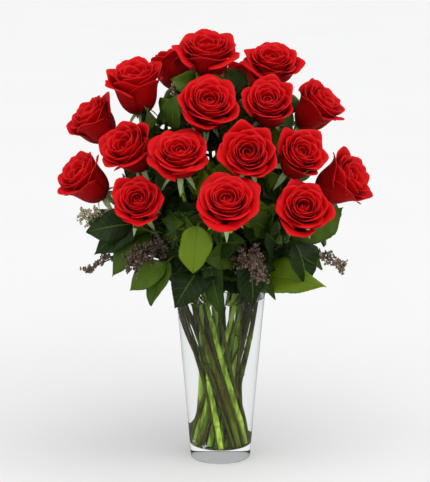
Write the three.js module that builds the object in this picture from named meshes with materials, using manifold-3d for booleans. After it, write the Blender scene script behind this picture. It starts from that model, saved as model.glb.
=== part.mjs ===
// Eighteen red roses with broad-leaved greens and seeded eucalyptus, standing in water in a clear
// tapered glass vase. Millimetres, +Z up, the front is -Y. The origin is the middle of the
// vase's underside.
import * as THREE from "three";
import { mergeVertices } from "three/addons/utils/BufferGeometryUtils.js";
import Module from "manifold-3d";

const wasm = await Module();
wasm.setup();

// Clearance between pieces that touch.
const GAP = 0.3;
const SLIT = 0.02; // so that a stem and the hole that leaves it whole have no face in common

// The vase.
const VASE_HEIGHT = 254;
const MOUTH_RADIUS = 64;
const BASE_RADIUS = 42;
const FLARE = 1.08; // power of the taper: a little over 1 opens slightly towards the mouth
const WALL = 3.5;
const FOOT_THICKNESS = 19;
const EDGE_ROUND = 2.5;
const WATER_LEVEL = 233;
const VASE_SIDES = 36;

// The bunch of stems. Each stands on the vase's floor and passes a waist and the mouth.
const STEM_SIDES = 5;
const FOOT_Z = FOOT_THICKNESS + 1;
const WAIST_Z = 108;
const MOUTH_Z = VASE_HEIGHT + 4;
const VASE_STEPS = 2; // straight steps of a stem between its foot and the mouth
const STEM_GAP = 0.6; // between two stems
const GLASS_GAP = 1.2; // between a stem and the vase
const WIDEST_REACH = 195; // reach of the outermost heads, which lean on the rim
const SPREAD_POWER = 0.7; // under 1 keeps the stems of the inner heads apart in the mouth
const FOOT_TO_MOUTH = 0.56; // a foot's distance from the middle over the stem's in the mouth
const CROSSING = 34; // degrees by which a stem's foot misses the point opposite its head
const WAIST_DRAW = 0.02; // share by which the waist closes in a pass
const DRAWING_PASSES = 400;
const PARTING_PASSES = 200;
const BEND_PASSES = 60;
const BEND_HANDLE = 0.4; // length of the bend's handles over the way it spans

// Roses.
const ROSE_STEM_RADIUS = 2.9;
const BLOOM_DEPTH_SHARE = 0.68; // of the bloom's width
const BLOOM_SEAT = 0.68; // share of its depth by which a bloom sits below its stated middle
const PETAL_RIPPLE = 0.7; // rise of a petal's free edge over how far it stands out
const HIP_LENGTH = 14;
const HIP_RADIUS = 6.5;
const HIP_NECK = 0.8; // radius under the sepals over the hip's
const HIP_SOCKET = 5; // how far under the bloom the stem ends, inside its hip
const SEPAL_REACH = 19;
const SEPAL_DROP = 13;

// Greens.
const SPRAY_STEM_RADIUS = 1.9;
const LEAF_THICKNESS = 1.8;
const LEAF_MIDDLE = 0.42; // share of its length at which a leaf is thickest
const LEAF_FOLD = 0.3; // rise of a leaf's halves from its midrib, over their width
const LEAF_LOOK_UP = 60; // leaves face out from the bunch, and up by this against their reach
const LEAF_ARCH = 0.1; // rise of a leaf's middle over its ends, as a share of its length
const RIM_CLEARANCE = 8; // times the gap, round the rims of leaves and sepals, which thin to nothing
const SIDE_LEAF_LENGTH = 62;
const SIDE_LEAF_WIDTH = 44;
const SPRIG_STEM_RADIUS = 1.4;
const SEED_RADIUS = 6;
const SEED_SPACING = 14;
const SEED_PLACES = [0.7, 1.8]; // of the inner and outer seed of a pair, in seed radii

const TURN_STEP = THREE.MathUtils.degToRad(137.5); // the golden angle, between one bloom and the next

// Each rose: middle of its bloom, the way it faces (turn from +X, lift over level, in degrees), width.
const ROSES = [
  { at: [-20, 20, 573], turn: -90, lift: 70, width: 94 },
  { at: [71, 45, 555], turn: -78, lift: 66, width: 86 },
  { at: [-71, 84, 545], turn: 140, lift: 62, width: 78 },
  { at: [-118, 14, 530], turn: -115, lift: 70, width: 81 },
  { at: [-16, -50, 515], turn: -80, lift: 48, width: 83 },
  { at: [63, -32, 514], turn: -88, lift: 50, width: 74 },
  { at: [138, 30, 497], turn: -22, lift: 48, width: 77 },
  { at: [-181, 34, 481], turn: -158, lift: 50, width: 76 },
  { at: [-127, -50, 456], turn: -130, lift: 45, width: 77 },
  { at: [-56, -100, 453], turn: -92, lift: 50, width: 83 },
  { at: [35, -95, 459], turn: -88, lift: 34, width: 79 },
  { at: [110, -65, 449], turn: -58, lift: 42, width: 75 },
  { at: [171, -25, 411], turn: -30, lift: 34, width: 84 },
  { at: [-189, -25, 408], turn: -152, lift: 42, width: 76 },
  { at: [-111, -105, 392], turn: -98, lift: 40, width: 74 },
  { at: [10, -150, 400], turn: -90, lift: 42, width: 86 },
  { at: [112, -115, 384], turn: -82, lift: 38, width: 82 },
  { at: [36, 118, 518], turn: 75, lift: 50, width: 78 },
];

// Each spray: where its stem ends and the way it points there, how many plain side leaves it has,
// and its outer leaves, as the share of the stem over the mouth where each grows, its tip and width.
const SPRAYS = [
  {
    name: "left",
    end: [-118, -60, 350],
    turn: -172,
    lift: 5,
    sideLeaves: 4,
    leaves: [
      { along: 1, tip: [-184, -62, 341], width: 44 },
      { along: 0.93, tip: [-174, -60, 308], width: 42 },
      { along: 0.8, tip: [-152, -74, 284], width: 38 },
    ],
  },
  {
    name: "front_left",
    end: [-72, -90, 305],
    turn: -130,
    lift: -25,
    sideLeaves: 3,
    leaves: [
      { along: 1, tip: [-123, -90, 262], width: 36 },
      { along: 0.94, tip: [-100, -96, 246], width: 34 },
    ],
  },
  {
    name: "front",
    end: [-29, -106, 362],
    turn: -100,
    lift: 10,
    sideLeaves: 3,
    leaves: [
      { along: 1, tip: [-41, -117, 294], width: 46 },
      { along: 0.36, tip: [-64, -97, 243], width: 56 },
      { along: 0.6, tip: [-4, -86, 222], width: 30 },
    ],
  },
  {
    name: "front_right",
    end: [34, -90, 318],
    turn: -70,
    lift: 0,
    sideLeaves: 3,
    leaves: [
      { along: 1, tip: [50, -92, 242], width: 46 },
      { along: 0.8, tip: [76, -84, 250], width: 20 },
    ],
  },
  {
    name: "right",
    end: [100, -74, 330],
    turn: -30,
    lift: 10,
    sideLeaves: 3,
    leaves: [
      { along: 1, tip: [114, -90, 268], width: 50 },
      { along: 0.7, tip: [134, -84, 270], width: 42 },
      { along: 0.9, tip: [171, -28, 362], width: 44 },
      { along: 0.95, tip: [140, -70, 288], width: 22 },
    ],
  },
  {
    name: "right_back",
    end: [112, 62, 352],
    turn: 25,
    lift: 12,
    sideLeaves: 4,
    leaves: [
      { along: 1, tip: [172, 88, 330], width: 42 },
      { along: 0.85, tip: [150, 34, 300], width: 44 },
    ],
  },
  {
    name: "back_right",
    end: [52, 112, 372],
    turn: 65,
    lift: 15,
    sideLeaves: 4,
    leaves: [
      { along: 1, tip: [70, 166, 340], width: 44 },
      { along: 0.85, tip: [22, 140, 306], width: 44 },
    ],
  },
  {
    name: "back",
    end: [-28, 116, 398],
    turn: 105,
    lift: 20,
    sideLeaves: 4,
    leaves: [
      { along: 1, tip: [-44, 170, 366], width: 44 },
      { along: 0.84, tip: [-2, 146, 348], width: 42 },
    ],
  },
  {
    name: "back_left",
    end: [-96, 93, 371],
    turn: 138,
    lift: 15,
    sideLeaves: 4,
    leaves: [
      { along: 1, tip: [-136, 130, 340], width: 44 },
      { along: 0.85, tip: [-84, 142, 320], width: 42 },
    ],
  },
  {
    name: "left_back",
    end: [-128, 26, 352],
    turn: 168,
    lift: 10,
    sideLeaves: 4,
    leaves: [
      { along: 1, tip: [-190, 36, 326], width: 42 },
      { along: 0.85, tip: [-152, 66, 300], width: 42 },
    ],
  },
  {
    name: "inner_left",
    end: [-64, -14, 470],
    turn: -120,
    lift: 70,
    sideLeaves: 5,
    leaves: [{ along: 1, tip: [-60, -30, 522], width: 34 }],
  },
  {
    name: "inner_right",
    end: [76, 10, 450],
    turn: -45,
    lift: 70,
    sideLeaves: 5,
    leaves: [{ along: 1, tip: [98, -6, 496], width: 34 }],
  },
];

// Each sprig: where it ends and the way it points there, and the share of it that carries seeds.
const SPRIGS = [
  { name: "front_left", end: [-182, -70, 286], turn: -165, lift: -30, seeded: 0.5, bend: 1.1 },
  { name: "front_left_low", end: [-88, -122, 284], turn: -115, lift: -50, seeded: 0.55, bend: 1.3 },
  { name: "front_right", end: [70, -124, 276], turn: -65, lift: -60, seeded: 0.55, bend: 1.4 },
  { name: "right", end: [168, -46, 284], turn: -10, lift: -45, seeded: 0.45, bend: 0.9 },
  { name: "left", end: [-180, -40, 352], turn: -160, lift: 0, seeded: 0.4, bend: 0.8 },
  { name: "back", end: [-66, 168, 330], turn: 115, lift: -30, seeded: 0.5, bend: 0.9 },
  { name: "inner", end: [-64, 6, 532], turn: -140, lift: 70, seeded: 0.45, bend: 1 },
];

const COLOURS = {
  glass: 0xe9f1f2,
  water: 0xdfecef,
  petal: 0xc00a18,
  stem: 0x5b7a2c,
  leaf: 0x2e5526,
  seed: 0x6f5d55,
};

// ---- Solids and geometries ----

function solidOf(geometry, matrix = new THREE.Matrix4()) {
  const bare = geometry.clone();
  bare.deleteAttribute("normal");
  bare.deleteAttribute("uv");
  bare.applyMatrix4(matrix);
  const merged = mergeVertices(bare, 1e-4);
  const mesh = new wasm.Mesh({
    numProp: 3,
    vertProperties: merged.attributes.position.array,
    triVerts: new Uint32Array(merged.index.array),
  });
  return new wasm.Manifold(mesh);
}

function geometryOf(solid) {
  const mesh = solid.getMesh();
  const geometry = new THREE.BufferGeometry();
  geometry.setAttribute("position", new THREE.BufferAttribute(mesh.vertProperties, 3));
  geometry.setIndex(new THREE.BufferAttribute(mesh.triVerts, 1));
  geometry.computeVertexNormals();
  return geometry;
}

function joined(solids) {
  return solids.reduce((whole, solid) => whole.add(solid));
}

function without(solid, others) {
  return others.reduce((left, other) => left.subtract(other), solid);
}

// What is left of a piece past its neighbours: the biggest part, where a cut divides it.
function clearOf(solid, neighbours) {
  const parts = without(solid, neighbours).decompose();
  parts.sort((a, b) => b.volume() - a.volume());
  return parts[0];
}

// ---- Directions and placing ----

function pointing(turn, lift) {
  const around = THREE.MathUtils.degToRad(turn);
  const up = THREE.MathUtils.degToRad(lift);
  const level = Math.cos(up);
  return new THREE.Vector3(level * Math.cos(around), level * Math.sin(around), Math.sin(up));
}

// The matrix that stands a piece made along +Y at a point, along an axis, rolled about it.
function standing(point, axis, roll = 0) {
  const turned = new THREE.Quaternion().setFromUnitVectors(new THREE.Vector3(0, 1, 0), axis);
  const rolled = new THREE.Quaternion().setFromAxisAngle(new THREE.Vector3(0, 1, 0), roll);
  return new THREE.Matrix4().compose(point, turned.multiply(rolled), new THREE.Vector3(1, 1, 1));
}

// ---- The vase and its water ----

function outerRadius(z) {
  return BASE_RADIUS + (MOUTH_RADIUS - BASE_RADIUS) * Math.pow(z / VASE_HEIGHT, FLARE);
}

function boreRadius(z) {
  return outerRadius(z) - WALL;
}

function turned(profile) {
  const points = profile.map(([radius, z]) => new THREE.Vector2(radius, z));
  const upright = new THREE.Matrix4().makeRotationX(Math.PI / 2);
  return solidOf(new THREE.LatheGeometry(points, VASE_SIDES), upright);
}

function wallPoints(radiusAt, from, to, steps) {
  const points = [];
  for (let i = 0; i <= steps; i++) {
    const z = from + ((to - from) * i) / steps;
    points.push([radiusAt(z), z]);
  }
  return points;
}

function vaseSolid(grow = 0) {
  const rim = VASE_HEIGHT;
  const outside = wallPoints((z) => outerRadius(z) + grow, EDGE_ROUND, rim - EDGE_ROUND / 2, 3);
  const inside = wallPoints((z) => boreRadius(z) - grow, rim - EDGE_ROUND / 2, FOOT_THICKNESS, 3);
  return turned([
    [0, 0],
    [BASE_RADIUS - EDGE_ROUND, 0],
    ...outside,
    [outerRadius(rim) - WALL / 2, rim + grow],
    ...inside,
    [0, FOOT_THICKNESS],
  ]);
}

function waterSolid(stems) {
  const wet = wallPoints((z) => boreRadius(z) - GAP, FOOT_THICKNESS + GAP, WATER_LEVEL, 3);
  const whole = turned([[0, FOOT_THICKNESS + GAP], ...wet, [0, WATER_LEVEL]]);
  return clearOf(whole, stems.map((stem) => tubeSolid(stem, GAP)));
}

// ---- Stems ----

// A stem starts as three knots in the vase: foot, waist and mouth. It leans across, foot opposite
// head. Its head is as thick as what it carries.
function bunchedStem({ head, tangent, radius, headRadius = radius, steps, order, bend = 1 }) {
  const reach = Math.hypot(head.x, head.y);
  const around = Math.atan2(head.y, head.x);
  const room = boreRadius(VASE_HEIGHT) - radius - GLASS_GAP;
  const spread = room * Math.min(1, Math.pow(reach / WIDEST_REACH, SPREAD_POWER));
  const miss = THREE.MathUtils.degToRad(CROSSING) * (order % 2 ? 1 : -1);
  const opposite = around + Math.PI + miss;
  const mouth = new THREE.Vector3(spread * Math.cos(around), spread * Math.sin(around), MOUTH_Z);
  const footSpread = spread * FOOT_TO_MOUTH;
  const foot = new THREE.Vector3(
    footSpread * Math.cos(opposite),
    footSpread * Math.sin(opposite),
    FOOT_Z,
  );
  const waist = foot.clone().lerp(mouth, (WAIST_Z - FOOT_Z) / (MOUTH_Z - FOOT_Z));
  return { head, tangent, radius, headRadius, steps, bend, knots: [foot, waist, mouth] };
}

// Pushes two stems apart where a step of one passes nearest a step of the other. Held knots stay.
function partSteps(a, i, b, j, isHeld) {
  const stepA = new THREE.Line3(a.knots[i], a.knots[i + 1]);
  const stepB = new THREE.Line3(b.knots[j], b.knots[j + 1]);
  const onA = new THREE.Vector3();
  const onB = new THREE.Vector3();
  const distance = Math.sqrt(stepA.distanceSqToLine3(stepB, onA, onB));
  const short = thickness(a, i) + thickness(b, j) + STEM_GAP - distance;
  if (short <= 0) return;
  const push = onA.clone().sub(onB).setLength(short / 2);
  for (const [stem, low, step, on, way] of [[a, i, stepA, onA, 1], [b, j, stepB, onB, -1]]) {
    const share = step.closestPointToPointParameter(on, true);
    if (!isHeld(stem, low)) stem.knots[low].addScaledVector(push, way * (1 - share));
    if (!isHeld(stem, low + 1)) stem.knots[low + 1].addScaledVector(push, way * share);
  }
}

function thickness(stem, step) {
  return step === stem.knots.length - 2 && step >= VASE_STEPS ? stem.headRadius : stem.radius;
}

// Puts a knot back on its level, within the vase.
function keepInBore(stem) {
  [FOOT_Z, WAIST_Z, MOUTH_Z].forEach((z, level) => {
    const knot = stem.knots[level];
    const room = boreRadius(Math.min(z, VASE_HEIGHT)) - stem.radius - GLASS_GAP;
    const inward = Math.min(1, room / Math.hypot(knot.x, knot.y));
    knot.set(knot.x * inward, knot.y * inward, z);
  });
}

function forEachPair(stems, act) {
  stems.forEach((a, i) => stems.slice(i + 1).forEach((b) => act(a, b)));
}

// Settles the stems beside each other, as a hand does when it fills a vase: the waist is drawn
// together, and then the stems only part.
function settleInVase(stems) {
  for (let pass = 0; pass < DRAWING_PASSES + PARTING_PASSES; pass++) {
    const draw = pass < DRAWING_PASSES ? 1 - WAIST_DRAW : 1;
    for (const stem of stems) {
      stem.knots[1].x *= draw;
      stem.knots[1].y *= draw;
      keepInBore(stem);
    }
    for (let step = 0; step < VASE_STEPS; step++) {
      forEachPair(stems, (a, b) => partSteps(a, step, b, step, () => false));
    }
  }
  stems.forEach(keepInBore);
}

// Adds the knots of a stem's bend, from the mouth out to its head.
function bendOut(stem) {
  const [, waist, mouth] = stem.knots;
  const rise = mouth.clone().sub(waist).normalize();
  const span = mouth.distanceTo(stem.head) * BEND_HANDLE * stem.bend;
  const leaving = mouth.clone().addScaledVector(rise, span);
  const arriving = stem.head.clone().addScaledVector(stem.tangent, -span);
  const bend = new THREE.CubicBezierCurve3(mouth, leaving, arriving, stem.head);
  stem.knots.push(...bend.getPoints(stem.steps).slice(1));
}

// Settles the bends beside each other. What is in the vase stays as it is, and so do the heads.
function settleBends(stems) {
  const isHeld = (stem, knot) => knot <= VASE_STEPS || knot === stem.knots.length - 1;
  for (let pass = 0; pass < BEND_PASSES; pass++) {
    forEachPair(stems, (a, b) => {
      for (let i = VASE_STEPS; i < a.knots.length - 1; i++) {
        for (let j = VASE_STEPS; j < b.knots.length - 1; j++) partSteps(a, i, b, j, isHeld);
      }
    });
  }
}

// A line of knots with straight steps between them.
class StemLine extends THREE.Curve {
  constructor(knots) {
    super();
    this.knots = knots;
  }

  getPoint(share) {
    const step = share * (this.knots.length - 1);
    const low = Math.min(Math.floor(step), this.knots.length - 2);
    return this.knots[low].clone().lerp(this.knots[low + 1], step - low);
  }

  getPointAt(share) {
    return this.getPoint(share);
  }

  getTangentAt(share) {
    return this.getTangent(share);
  }
}

function overMouth(stem) {
  return new StemLine(stem.knots.slice(VASE_STEPS));
}

function tubeSolid(stem, grow = 0) {
  const section = new THREE.Shape();
  const corners = [];
  for (let i = 0; i < STEM_SIDES; i++) {
    const angle = (2 * Math.PI * i) / STEM_SIDES;
    const radius = stem.radius + grow;
    corners.push(new THREE.Vector2(radius * Math.cos(angle), radius * Math.sin(angle)));
  }
  section.setFromPoints(corners);
  const extrudePath = new StemLine(stem.knots);
  const options = { steps: stem.knots.length - 1, extrudePath, bevelEnabled: false };
  return solidOf(new THREE.ExtrudeGeometry(section, options));
}

// ---- Roses ----

// Rings of a bloom from its base up the outside and down into the heart: share of the half width,
// share of the depth, petals in the ring, and how far a petal's free edge stands out of it.
const BLOOM_RINGS = [
  { out: 0, up: 0, petals: 5, edge: 0 },
  { out: 0.52, up: 0.12, petals: 5, edge: 0.02 },
  { out: 0.86, up: 0.46, petals: 5, edge: 0.05 },
  { out: 0.98, up: 0.78, petals: 5, edge: 0.08 },
  { out: 0.8, up: 0.86, petals: 5, edge: 0.06 },
  { out: 0.62, up: 0.68, petals: 5, edge: 0.03 },
  { out: 0.56, up: 0.97, petals: 3, edge: 0.06 },
  { out: 0.4, up: 0.78, petals: 3, edge: 0.03 },
  { out: 0.28, up: 1, petals: 3, edge: 0.05 },
  { out: 0, up: 0.9, petals: 3, edge: 0 },
];
const BLOOM_SIDES = 15;

function facing(rose) {
  return pointing(rose.turn, rose.lift);
}

function bloomDepth(rose) {
  return rose.width * BLOOM_DEPTH_SHARE;
}

function bloomBase(rose) {
  const middle = new THREE.Vector3(...rose.at);
  return middle.addScaledVector(facing(rose), -bloomDepth(rose) * BLOOM_SEAT);
}

// A lathe turned from the rings, whose rims are then drawn out into overlapping petals.
function bloomSolid(rose, index, grow = 0) {
  const half = rose.width / 2 + grow;
  const depth = bloomDepth(rose);
  const rings = BLOOM_RINGS.map(({ out, up }) => new THREE.Vector2(out * half, up * depth));
  const lathe = new THREE.LatheGeometry(rings, BLOOM_SIDES);
  const position = lathe.attributes.position;
  for (let i = 0; i < position.count; i++) {
    const ring = BLOOM_RINGS[i % BLOOM_RINGS.length];
    const side = Math.floor(i / BLOOM_RINGS.length) % BLOOM_SIDES;
    const along = ((side * ring.petals) / BLOOM_SIDES + ring.out) % 1;
    const stretch = ring.out === 0 ? 1 : 1 + (ring.edge * (2 * along - 1)) / ring.out;
    const lift = ring.edge * half * PETAL_RIPPLE * Math.sin(2 * Math.PI * along);
    position.setXYZ(
      i,
      position.getX(i) * stretch,
      position.getY(i) + lift + (2 * ring.up - 1) * grow,
      position.getZ(i) * stretch,
    );
  }
  return solidOf(lathe, standing(bloomBase(rose), facing(rose), index * TURN_STEP));
}

// Outline of the hip and its sepals from the stem up: radius, height under the bloom, and how many
// times the clearance each point moves out and up when it is grown.
const HIP_OUTLINE = [
  { radius: 0, height: -HIP_LENGTH, out: 0, up: -2 },
  { radius: HIP_RADIUS, height: -HIP_LENGTH * 0.6, out: 2, up: -2 },
  { radius: HIP_RADIUS * HIP_NECK, height: -3, out: 2, up: -2 },
  { radius: SEPAL_REACH, height: -SEPAL_DROP, out: RIM_CLEARANCE, up: -RIM_CLEARANCE },
  { radius: HIP_RADIUS, height: -1, out: 2, up: 1 },
  { radius: 0, height: -1, out: 0, up: 1 },
];
const SEPAL_RING = 3;
const HIP_SIDES = 10; // every other one carries a sepal

// A lathe of the outline, whose sepal ring is tucked in between the five sepals.
function hipSolid(stem, roll, grow = 0) {
  const points = HIP_OUTLINE.map(({ radius, height, out, up }) => {
    return new THREE.Vector2(radius + out * grow, HIP_SOCKET + height + up * grow);
  });
  const lathe = new THREE.LatheGeometry(points, HIP_SIDES);
  const position = lathe.attributes.position;
  const tuck = HIP_RADIUS / SEPAL_REACH;
  for (let i = SEPAL_RING; i < position.count; i += points.length) {
    const isSepal = Math.floor(i / points.length) % 2 === 0;
    if (isSepal) continue;
    position.setXYZ(i, position.getX(i) * tuck, HIP_SOCKET - 2, position.getZ(i) * tuck);
  }
  return solidOf(lathe, standing(stem.head, stem.tangent, roll));
}

// ---- Leaves and seeds ----

// A leaf's outline from its stalk round its left edge to its tip: share of the length, and of the
// half width. The right edge mirrors it.
const LEAF_OUTLINE = [
  [-0.06, 0],
  [0.14, 0.62],
  [0.42, 1],
  [0.78, 0.62],
  [1, 0],
];

// A thin lens whose rim is drawn out into the leaf's outline, arched along its length and folded
// along its midrib. Grown, it swells about its middle.
function leafSolid(leaf, grow = 0) {
  const tip = new THREE.Vector3(...leaf.tip);
  const along = tip.clone().sub(leaf.base);
  const length = along.length();
  along.normalize();
  const away = new THREE.Vector3(tip.x + leaf.base.x, tip.y + leaf.base.y, LEAF_LOOK_UP);
  const face = away.addScaledVector(along, -away.dot(along)).normalize();
  const across = face.clone().cross(along);
  const onLeaf = (share, x) => {
    const arched = (1 - Math.pow(2 * share - 1, 2)) * length * LEAF_ARCH;
    return new THREE.Vector3(x, arched + Math.abs(x) * LEAF_FOLD, share * length);
  };
  const middle = onLeaf(LEAF_MIDDLE, 0);
  const margin = RIM_CLEARANCE * grow;
  const swell = 1 + (2 * margin) / leaf.width;
  const sides = 2 * (LEAF_OUTLINE.length - 1);
  const lens = new THREE.SphereGeometry(1, sides, 2);
  const position = lens.attributes.position;
  for (let i = 0; i < position.count; i++) {
    const pole = Math.round(position.getY(i));
    const turn = (i % (sides + 1)) % sides;
    const [share, half] = LEAF_OUTLINE[Math.min(turn, sides - turn)];
    const side = turn < sides / 2 ? -1 : 1;
    const rim = onLeaf(share, (side * half * leaf.width) / 2);
    const point = pole ? middle.clone() : rim.sub(middle).multiplyScalar(swell).add(middle);
    point.y += pole * (LEAF_THICKNESS / 2 + margin);
    position.setXYZ(i, ...point);
  }
  return solidOf(lens, new THREE.Matrix4().makeBasis(across, face, along).setPosition(leaf.base));
}

// Side leaves grow in turn to the left and right of a spray's stem, and out from the bunch.
function sideLeaf(spray, curve, order) {
  const along = 0.3 + (0.6 * order) / spray.sideLeaves;
  const base = curve.getPoint(along);
  const outward = pointing(spray.turn, 0);
  const sideways = new THREE.Vector3(-outward.y, outward.x, 0);
  const way = outward.multiplyScalar(0.5 + 0.25 * Math.cos(order * 2));
  way.addScaledVector(sideways, order % 2 ? 0.8 : -0.8);
  way.z = 0.25 + 0.3 * Math.sin(order * 3 + spray.turn);
  const tip = base.clone().addScaledVector(way.normalize(), SIDE_LEAF_LENGTH);
  return { along, tip: tip.toArray(), width: SIDE_LEAF_WIDTH };
}

function leavesOf(spray) {
  const curve = overMouth(spray.stem);
  const sides = Array.from({ length: spray.sideLeaves }, (_, i) => sideLeaf(spray, curve, i));
  return [...spray.leaves, ...sides].map((leaf) => ({ ...leaf, base: curve.getPoint(leaf.along) }));
}

function spraySolid(spray, grow = 0) {
  const leaves = leavesOf(spray).map((leaf) => leafSolid(leaf, grow));
  return joined([tubeSolid(spray.stem, grow), ...leaves]);
}

// Seeds sit in twos round the outer part of the sprig, the inner one against its stem.
function sprigSolid(sprig, grow = 0) {
  const curve = overMouth(sprig.stem);
  const count = Math.round((curve.getLength() * sprig.seeded) / SEED_SPACING);
  const solids = [tubeSolid(sprig.stem, grow)];
  for (let i = 0; i < count; i++) {
    const share = 1 - (sprig.seeded * i) / count;
    const place = standing(curve.getPoint(share), curve.getTangent(share), i * TURN_STEP);
    for (const out of SEED_PLACES) {
      const at = new THREE.Vector3(SEED_RADIUS * out, 0, 0).applyMatrix4(place);
      const seed = new THREE.OctahedronGeometry(SEED_RADIUS + grow);
      solids.push(solidOf(seed, place.clone().setPosition(at)));
    }
  }
  return joined(solids);
}

// ---- Laying out the bunch ----

const roseStems = ROSES.map((rose, order) => {
  return bunchedStem({
    head: bloomBase(rose).addScaledVector(facing(rose), -HIP_SOCKET),
    tangent: facing(rose),
    radius: ROSE_STEM_RADIUS,
    headRadius: HIP_RADIUS + 1,
    steps: 6,
    order,
  });
});
SPRAYS.forEach((spray, order) => {
  const head = new THREE.Vector3(...spray.end);
  const tangent = pointing(spray.turn, spray.lift);
  spray.stem = bunchedStem({ head, tangent, radius: SPRAY_STEM_RADIUS, steps: 5, order });
});
SPRIGS.forEach((sprig, order) => {
  const head = new THREE.Vector3(...sprig.end);
  const tangent = pointing(sprig.turn, sprig.lift);
  const { bend } = sprig;
  sprig.stem = bunchedStem({ head, tangent, radius: SPRIG_STEM_RADIUS, steps: 6, order, bend });
});
const allStems = [...roseStems, ...[...SPRAYS, ...SPRIGS].map(({ stem }) => stem)];
settleInVase(allStems);
allStems.forEach(bendOut);
settleBends(allStems);

// ---- The assembly ----

const roses = new THREE.Group();

function addPiece(name, solid, colour, roughness, metalness = 0) {
  const material = new THREE.MeshStandardMaterial({ color: colour, roughness, metalness });
  const mesh = new THREE.Mesh(geometryOf(solid), material);
  mesh.name = name;
  roses.add(mesh);
  return mesh;
}

for (const [name, solid, colour, opacity] of [
  ["vase", vaseSolid(), COLOURS.glass, 0.25],
  ["water", waterSolid(allStems), COLOURS.water, 0.35],
]) {
  const { material } = addPiece(name, solid, colour, 0.03);
  material.transparent = true;
  material.opacity = opacity;
}

// Later pieces give way to the ones before them.
const taken = [vaseSolid(GAP)];
ROSES.forEach((rose, i) => {
  const label = String(i + 1).padStart(2, "0");
  const stem = roseStems[i];
  addPiece(`rose_${label}_bloom`, bloomSolid(rose, i), COLOURS.petal, 0.55);
  addPiece(`rose_${label}_stem`, tubeSolid(stem).add(hipSolid(stem, i)), COLOURS.stem, 0.6);
  taken.push(bloomSolid(rose, i, GAP));
  taken.push(tubeSolid(stem, GAP), hipSolid(stem, i, GAP));
});
for (const { stem } of [...SPRAYS, ...SPRIGS]) {
  stem.room = tubeSolid(stem, GAP);
  stem.hole = tubeSolid(stem, SLIT);
}
for (const [kind, items, build, colour] of [
  ["leaf_spray", SPRAYS, spraySolid, COLOURS.leaf],
  ["eucalyptus", SPRIGS, sprigSolid, COLOURS.seed],
]) {
  for (const item of items) {
    const others = [...SPRAYS, ...SPRIGS].filter((other) => other !== item);
    const solid = clearOf(build(item), [...taken, ...others.map(({ stem }) => stem.room)]);
    addPiece(`${kind}_${item.name}`, solid, colour, 0.5);
    taken.push(without(build(item, GAP), others.map(({ stem }) => stem.hole)));
  }
}

export default roses;
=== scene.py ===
"""Eighteen long-stemmed red roses with leafy greens and seeded eucalyptus,
standing in water in a clear tapered glass vase."""

import math
import random

import bmesh
import bpy
from mathutils import Matrix, Vector
from mathutils.geometry import interpolate_bezier


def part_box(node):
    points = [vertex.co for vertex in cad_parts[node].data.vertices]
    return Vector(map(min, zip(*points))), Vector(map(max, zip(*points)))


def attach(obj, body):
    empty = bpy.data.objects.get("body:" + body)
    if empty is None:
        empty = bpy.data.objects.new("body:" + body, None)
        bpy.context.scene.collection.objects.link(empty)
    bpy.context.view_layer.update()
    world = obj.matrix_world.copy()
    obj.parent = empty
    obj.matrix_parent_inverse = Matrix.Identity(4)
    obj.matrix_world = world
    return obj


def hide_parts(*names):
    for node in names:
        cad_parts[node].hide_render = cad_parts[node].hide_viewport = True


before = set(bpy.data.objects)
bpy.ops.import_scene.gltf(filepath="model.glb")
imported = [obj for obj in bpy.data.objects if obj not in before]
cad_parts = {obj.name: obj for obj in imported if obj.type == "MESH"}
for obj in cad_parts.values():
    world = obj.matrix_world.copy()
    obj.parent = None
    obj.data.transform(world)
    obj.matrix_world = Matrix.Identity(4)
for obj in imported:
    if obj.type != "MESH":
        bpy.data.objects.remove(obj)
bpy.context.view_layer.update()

# ---------------------------------------------------------------- the vase
# One piece of clear pressed glass, turned to a taper, with a thick solid foot
# and a fire-polished rim. It holds everything else.

VASE_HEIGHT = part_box("vase")[1].z
MOUTH_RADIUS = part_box("vase")[1].x
BASE_RADIUS = 0.042
FLARE = 1.08
WALL = 0.0035
FOOT_THICKNESS = 0.019
RIM_ROUND, RIM_SEGMENTS = WALL * 0.45, 4
FOOT_ROUND, FOOT_SEGMENTS = 0.0022, 4
BOWL_ROUND, BOWL_SEGMENTS = 0.004, 6
TURNED_STEPS = 96
OUTLINE_STEPS = 12
SAME_PLACE, MERGED_WITHIN = 1e-5, 1e-6
GLASS_INDEX = 1.25  # under the 1.5 of glass, since water behind a wall takes most of its shine away
GLASS_TINT = (0.998, 1, 1, 1)
GLASS_RIPPLE_SCALE, GLASS_RIPPLE_DEPTH = 9, 0.00012


class Level:
    """A number that varies over a surface. Sums written with it add Math nodes."""

    def __init__(self, nodes, socket):
        self.nodes = nodes
        self.socket = socket

    def maths(self, operation, *values):
        return self.nodes.node("Math", {"operation": operation}, dict(enumerate(values)))

    def __add__(self, other):
        return self.maths("ADD", self, other)

    def __sub__(self, other):
        return self.maths("SUBTRACT", self, other)

    def __rsub__(self, other):
        return self.maths("SUBTRACT", other, self)

    def __mul__(self, other):
        return self.maths("MULTIPLY", self, other)

    def __abs__(self):
        return self.maths("ABSOLUTE", self)

    __radd__ = __add__
    __rmul__ = __mul__

    def fraction(self):
        return self.maths("FRACT", self)

    def wave(self):
        return self.maths("SINE", self)

    def between(self, low, high):
        """0 below low, 1 above high, and a soft step between them."""
        span = {"Value": self, "From Min": low, "From Max": high}
        return self.nodes.node("MapRange", {"interpolation_type": "SMOOTHSTEP"}, span)


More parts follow.
